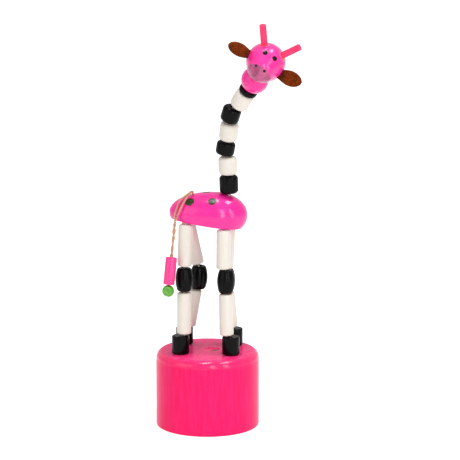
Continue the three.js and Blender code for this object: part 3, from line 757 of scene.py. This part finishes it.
body_paint = Finish("body_paint", Coat_Roughness=0.2, Specular_IOR_Level=0.18)
paint_cloud = body_paint.noise(0.006, 3)
paint_peel = body_paint.noise(0.0012, 3, 0.5)
pink = body_paint.mix(srgb(249, 30, 148), srgb(254, 48, 162), paint_cloud.step(0.3, 0.7))
spot_ragged = (body_paint.noise(0.0011, 3, 0.6) - 0.5) * (0.9 * mm)
# The middle of each spot, near the body's surface, and its radius, in millimetres.
spot_places = [
    (-7.2, -6.2, 98, 2.4), (2.7, -7.1, 98.2, 1.95), (-0.2, 0.6, 100.2, 1.95),
    (-8.2, 5.9, 97.2, 1.95), (3.6, 7.1, 97.9, 1.95), (12.6, 4.4, 95.3, 1.95), (-12.6, 1.6, 96.9, 1.95),
]
spots = None
for *place, radius in spot_places:
    centre = tuple(c * mm for c in place)
    far = body_paint.vector("DISTANCE", body_paint.place(), centre, "Value") + spot_ragged
    spot = 1 - far.step((radius - 0.16) * mm, (radius + 0.12) * mm)
    spots = spot if spots is None else spots.most(spot)
spot_speckle = body_paint.noise(0.0007, 4, 0.65).step(0.38, 0.7)
olive = body_paint.mix(srgb(26, 34, 10), srgb(72, 84, 36), spot_speckle)
body_paint.feed("Base Color", body_paint.mix(pink, olive, spots))
body_paint.feed("Coat Weight", 0.52 - spots * 0.26)
body_paint.feed("Roughness", spots * 0.12 + paint_cloud * 0.1 + 0.16)
body_paint.relief(paint_peel * 0.05 + spots * 0.95, 0.00002)
dress(body, "body", body_paint, "body")


# Neck: six beads, black and white in turn, and a thin black collar dished for the throat ball.
# All are cut from dowel, rounded, painted and drilled.
neck_radius, neck_fillet, collar_fillet = 3.75 + 2 * coat, 1.5, 0.7
throat_radius, throat_gap, collar_dish = 5.6, 0.3, 1
for number, (foot, axis, length) in enumerate(neck_stands, 1):
    is_collar = number == len(neck_stands)
    bead_side = bar_side(neck_radius, length / mm, collar_fillet if is_collar else neck_fillet)
    bead = stand(turned(f"neck_turned_{number}", bored(bead_side, cord_bore)), foot, axis)
    if is_collar:
        dish = turned("dish", (arc(0, 0, throat_radius + throat_gap, -90, 90, 40), False), 72)
        dish_centre = foot + axis * (length + (throat_radius + throat_gap - collar_dish) * mm)
        carve(bead, stand(dish, dish_centre, axis))
    dress(bead, f"neck_{number}", black_paint if number % 2 else cream_paint, f"neck_bead_{number}")


# Head: a turned egg that rests on a pink throat ball, which sits in the collar. Its nose end is
# dipped in mauve, and the eyes and nostrils are dots of black paint.
throat_low, throat_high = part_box("throat_ball")
throat_centre = (throat_low + throat_high) / 2
neck_axis = neck_stands[-1][1]
throat_outline = bored(arc(0, 0, throat_radius + coat, -76, 76, 44), cord_bore)
throat_ball = stand(turned("throat_turned", throat_outline, 96), throat_centre, neck_axis)
head_paint = Finish("body_paint", Coat_Roughness=0.24, Specular_IOR_Level=0.18)
head_paint.material.name = "head_paint"
head_cloud = head_paint.noise(0.005, 3)
head_pink = head_paint.mix(srgb(249, 32, 144), srgb(254, 60, 164), head_cloud.step(0.3, 0.7))

cranium, muzzle, muzzle_reach = 8.1, 6.2, 4
head_bow, head_lean, head_to_throat = math.radians(40), leaning(24.5, 35.3), 12
head_turn = (
    Matrix.Rotation(math.radians(-85), 4, "Z") @ Matrix.Rotation(math.radians(-9), 4, "Y")
    @ Matrix.Rotation(math.radians(-32), 4, "X") @ Matrix.Rotation(head_bow, 4, "Y")
)
head_frame = Matrix.Translation(throat_centre + head_lean * head_to_throat * mm) @ head_turn
taper = math.degrees(math.asin((cranium - muzzle) / muzzle_reach))
head_outline = [*arc(0, 0, cranium, -90, taper, 48), *arc(0, muzzle_reach, muzzle, taper, 90, 30)]
head = turned("head_egg", (head_outline, False), 128, Matrix.Rotation(math.pi / 2, 4, "Y"))
head.matrix_world = head_frame
socket_tool = turned("socket", (arc(0, 0, throat_radius + throat_gap, -90, 90, 40), False), 96)
socket_tool.matrix_world = Matrix.Translation(throat_centre)
carve(head, socket_tool)


def on_face(left, rise, sight, radius, centre=0):
    """A point on the head, from its share to the left, up and towards one who faces the head."""
    ahead = sight * math.cos(head_bow) - rise * math.sin(head_bow)
    upward = sight * math.sin(head_bow) + rise * math.cos(head_bow)
    return ((centre + ahead * radius) * mm, left * radius * mm, upward * radius * mm)


nose_axis = Vector((0.935, -0.03, -0.31)).normalized()
from_muzzle = head_paint.vector("SUBTRACT", head_paint.place(), (muzzle_reach * mm, 0, 0))
nose_way = head_paint.node("ShaderNodeVectorMath", {"operation": "NORMALIZE"}, {0: from_muzzle})
nose_ragged = (head_paint.noise(0.004, 3) - 0.5) * 0.12
nose_facing = head_paint.vector("DOT_PRODUCT", nose_way, tuple(nose_axis), "Value")
nose = (nose_facing + nose_ragged).step(0.47, 0.54)
nose_cloud = head_paint.noise(0.003, 4, 0.6).step(0.3, 0.7)
mauve = head_paint.mix(srgb(142, 46, 92), srgb(204, 94, 142), nose_cloud)
# Two eyes high on the cranium and two nostrils on the muzzle.
eye_size, nostril_size = 1.08, 0.64
dots = None
dot_wobble = (head_paint.noise(0.001, 2) - 0.5) * (0.35 * mm)
for left in (-1, 1):
    for where, size in (
        (on_face(left * 0.28 - 0.015, 0.39, 0.88, cranium), eye_size),
        (on_face(left * 0.33 - 0.13, -0.12, 0.93, muzzle, muzzle_reach), nostril_size),
    ):
        far = head_paint.vector("DISTANCE", head_paint.place(), where, "Value") + dot_wobble
        dot = 1 - far.step((size - 0.12) * mm, (size + 0.1) * mm)
        dots = dot if dots is None else dots.most(dot)

horn_spread, horn_rake = math.radians(33.5), math.radians(8)
horn_ways = {
    side: Vector((-math.sin(horn_rake), way * math.sin(horn_spread), math.cos(horn_spread))).normalized()
    for side, way in (("left", 1), ("right", -1))
}
# The glue that was squeezed out round the horns.
glue = None
glue_ragged = (head_paint.noise(0.0016, 4, 0.65) - 0.5) * (2.4 * mm)
for way in horn_ways.values():
    root = tuple(way * cranium * mm)
    far = head_paint.vector("DISTANCE", head_paint.place(), root, "Value") + glue_ragged
    blot = 1 - far.step(1.5 * mm, 2.5 * mm)
    glue = blot if glue is None else glue.most(blot)
face = head_paint.mix(head_pink, mauve, nose)
face = head_paint.mix(face, srgb(255, 150, 84), glue * 0.55)
head_paint.feed("Base Color", head_paint.mix(face, srgb(5, 3, 4), dots))
head_paint.feed("Coat Weight", 0.52 - dots * 0.42 - nose * 0.14)
head_paint.feed("Roughness", nose * 0.14 + head_cloud * 0.1 + 0.18)
head_paint.relief(head_paint.noise(0.0012, 3) * 0.15 + dots * 0.85, 0.00003)
dress(head, "head", head_paint, "head")
dress(throat_ball, "throat", body_paint, "throat_ball")


# Horns: two dowels with sawn ends, barely rounded, painted coral. Each is glued into a socket at
# the top of the head, with a ring of glue round its root that has taken a little orange.
horn_paint = Finish("horn_paint", Specular_IOR_Level=0.3)
horn_grain = horn_paint.noise(0.0005, 4, 0.6, horn_paint.scaled(1, 0.1))
horn_coral = horn_paint.mix(srgb(250, 40, 96), srgb(253, 66, 120), horn_grain.step(0.3, 0.7))
horn_paint.feed("Base Color", horn_coral)
horn_paint.feed("Roughness", horn_grain * 0.2 + 0.36)
horn_paint.relief(horn_grain, 0.00004)
horn_radius, horn_length, horn_root, horn_fillet = 1.4, 8.6, 3, 0.22
# The left horn was glued in a little askew.
askew = {"left": math.radians(5), "right": 0}
for side, way in horn_ways.items():
    horn_side = bar_side(horn_radius, horn_length + horn_root, horn_fillet)
    horn = turned(f"horn_dowel_{side}", solid(horn_side), 48)
    horn_foot = head_frame @ (way * (cranium - horn_root) * mm)
    horn_axis = Matrix.Rotation(askew[side], 3, "X") @ way
    stand(horn, horn_foot, (head_frame.to_3x3() @ horn_axis).normalized())
    dress(horn, "head", horn_paint, f"horn_{side}")


# Ears: leaves cut from thick brown felt, their roots glued into slots in the head. Each is a
# little cupped, with soft edges and a fuzzy surface.
felt = Finish("felt", Roughness=0.95, Sheen_Weight=0.05, Sheen_Roughness=0.5, Specular_IOR_Level=0.1)
felt_fuzz = felt.noise(0.0004, 5, 0.75)
felt_cloud = felt.noise(0.0018, 3, 0.6)
felt_tone = felt.mix(srgb(60, 17, 1), srgb(152, 62, 8), felt_fuzz.step(0.35, 0.66))
felt_reach = felt.node("ShaderNodeSeparateXYZ", {}, {0: felt.place()}, "X")
felt_tone = felt.mix(felt_tone, srgb(58, 22, 6), felt_cloud.step(0.46, 0.72) * 0.6)
felt_tone = felt.mix(srgb(54, 18, 4), felt_tone, felt_reach.step(-1 * mm, 3.5 * mm) * 0.75 + 0.25)
felt.feed("Base Color", felt_tone)
felt.relief(felt_fuzz, 0.00018)
ear_length, ear_thickness, ear_root = 9.3, 1.4, 2
# The side of the head, the lift of the leaf in degrees, and its width in the middle and at the root.
ear_places = {"left": (1, 9, 6.3, 3.6), "right": (-1, -5, 5.5, 2.9)}


def ear_half_width(share, ear_width, ear_root_width):
    """Half the leaf's width at a share of the way from its root to its tip."""
    widest = 0.45
    x = share * (ear_length + ear_root) - ear_root
    if x < widest * ear_length:
        grow = max(0.0, (x + ear_root) / (widest * ear_length + ear_root))
        smooth = grow * grow * (3 - 2 * grow)
        return (ear_root_width + (ear_width - ear_root_width) * smooth) / 2
    near_tip = (x - widest * ear_length) / ((1 - widest) * ear_length)
    return ear_width / 2 * max(0.0, 1 - near_tip ** 2.2) ** 0.58


def felt_leaf(name, width, root_width):
    """The leaf in the plane of X and Z, root towards -X, as two skins that meet at a soft edge."""
    rows, columns = 56, 28
    maker = bmesh.new()
    for face in (-1, 1):
        skin = []
        for i in range(rows + 1):
            share = 0.5 - 0.5 * math.cos(math.pi * i / rows)
            half = max(ear_half_width(share, width, root_width), 0.05)
            row = []
            for j in range(columns + 1):
                across = math.sin(math.pi * (j / columns - 0.5))
                end = max(0.0, (share - 0.9) / 0.1)
                edge = math.sqrt(max(0.0, 1 - abs(across) ** 5)) * math.sqrt(max(0.0, 1 - end ** 3))
                cup = 0.3 * across * across - 0.35 * share * share
                x = share * (ear_length + ear_root) - ear_root
                y = face * ear_thickness / 2 * edge * 0.86 - cup + 0.1
                row.append(maker.verts.new((x * mm, y * mm, across * half * mm)))
            skin.append(row)
        for i in range(rows):
            for j in range(columns):
                maker.faces.new((skin[i][j], skin[i + 1][j], skin[i + 1][j + 1], skin[i][j + 1]))
    bmesh.ops.remove_doubles(maker, verts=maker.verts, dist=0.004 * mm)
    root_edges = [e for e in maker.edges if e.is_boundary]
    bmesh.ops.edgeloop_fill(maker, edges=root_edges)
    return finished(name, maker)


for side, (way, lift, width, root_width) in ear_places.items():
    leaf = felt_leaf(f"ear_leaf_{side}", width, root_width)
    leaf.matrix_world = (
        head_frame @ Matrix.Rotation(-head_bow, 4, "Y")
        @ Matrix.Translation((2.5 * mm, way * (cranium - 0.5) * mm, -1 * mm))
        @ Matrix.Rotation(math.radians(way * 90), 4, "Z") @ Matrix.Rotation(math.radians(-lift), 4, "Y")
    )
    dress(leaf, "head", felt, f"ear_{side}")


# Cords: waxed cotton, knotted in the button's pockets and threaded up through the legs. One goes
# on through body and neck into the head. Each stretch follows the two pieces that it joins.
cord_diameter, cord_ply_length, cord_lay = 0.9 * mm, 0.7 * mm, 1.4 * mm
cord_finish = Finish("cord", Roughness=0.7, Specular_IOR_Level=0.3)
cord_ply = (cord_finish.attribute("along") * (2 * math.pi / cord_ply_length)).sine() * 0.5 + 0.5
cord_finish.feed("Base Color", cord_finish.mix(srgb(236, 230, 216), srgb(206, 194, 172), cord_ply))
cord_finish.relief(cord_ply, 0.00006)


def stretch(name, first, second, points, stands_for=None):
    """A stretch of cord from inside one piece to inside the next, bending between their ends."""
    path, _ = smooth_route(points, 40)
    piece = swept(name, path, cord_diameter, 3, cord_lay)
    dress(piece, first if second is None else None, cord_finish, *([stands_for] if stands_for else []))
    if second:
        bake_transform(piece)


up = Vector((0, 0, mm))
knot_steps, knot_size, knot_squeeze = 96, 0.34 * mm, 0.8
for leg in leg_names:
    hole = cord_holes[leg]
    stands = leg_stands[leg]
    hoof_foot, _, hoof_length = stands["hoof"]
    hoof_hole = Vector((*hole, hoof_foot.z))
    # Every link of the chain: the body it belongs to, and the two ends of its hole.
    chain = [("base", Vector((*hole, hollow_top * mm)), Vector((*hole, drum_height * mm)))]
    chain.append((f"hoof_{leg}", hoof_hole, hoof_hole + Vector((0, 0, hoof_length))))
    for kind in ("shin", "knee", "thigh"):
        foot, axis, length = stands[kind]
        chain.append((f"{kind}_{leg}", foot, foot + axis * length))
    node = "cord_neck" if leg == "front_near" else f"cord_{leg}"
    if leg == "front_near":
        chain.append(("body", chain[-1][2] + 0.5 * up, neck_seat))
        for number, (foot, axis, length) in enumerate(neck_stands, 1):
            chain.append((f"neck_{number}", foot, foot + axis * length))
        chain.append(("throat", throat_centre - neck_axis * throat_radius * mm, throat_centre))
        chain.append(("head", throat_centre + head_lean * 6 * mm, throat_centre + head_lean * 10 * mm))
    knot_centre = Vector((*hole, 2 * mm))
    button_hole = Vector((*hole, (button_recess + button_thickness) * mm))
    lower = [knot_centre, button_hole - up, button_hole + 8 * up, chain[0][1] - up, chain[0][1] + 3 * up]
    stretch(f"cord_{leg}_0", "button", "base", lower, node)
    for number, (one, two) in enumerate(zip(chain, chain[1:]), 1):
        (body_a, foot_a, top_a), (body_b, foot_b, top_b) = one, two
        inside_a, inside_b = top_a.lerp(foot_a, 0.12), foot_b.lerp(top_b, 0.12)
        meet = top_a.lerp(foot_b, 0.5)
        points = [top_a.lerp(foot_a, 0.5), inside_a, meet, inside_b, foot_b.lerp(top_b, 0.5)]
        stretch(f"cord_{leg}_{number}", body_a, body_b, points)
    if leg != "front_near":
        body_a, foot_a, top_a = chain[-1]
        axis = (top_a - foot_a).normalized()
        end = [top_a.lerp(foot_a, 0.5), top_a.lerp(foot_a, 0.2), top_a, top_a + axis * 0.9 * mm]
        stretch(f"cord_{leg}_{len(chain)}", body_a, None, end)
    knot_path = []
    for i in range(knot_steps + 1):
        t = 2 * math.pi * i / knot_steps
        swing = 2 + math.cos(3 * t)
        loop = Vector((swing * math.cos(2 * t), swing * math.sin(2 * t), math.sin(3 * t))) * knot_size
        knot_path.append(knot_centre + loop)
    knot = swept(f"knot_{leg}", knot_path, cord_diameter * knot_squeeze, 3, cord_lay, 10)
    dress(knot, "button", cord_finish)
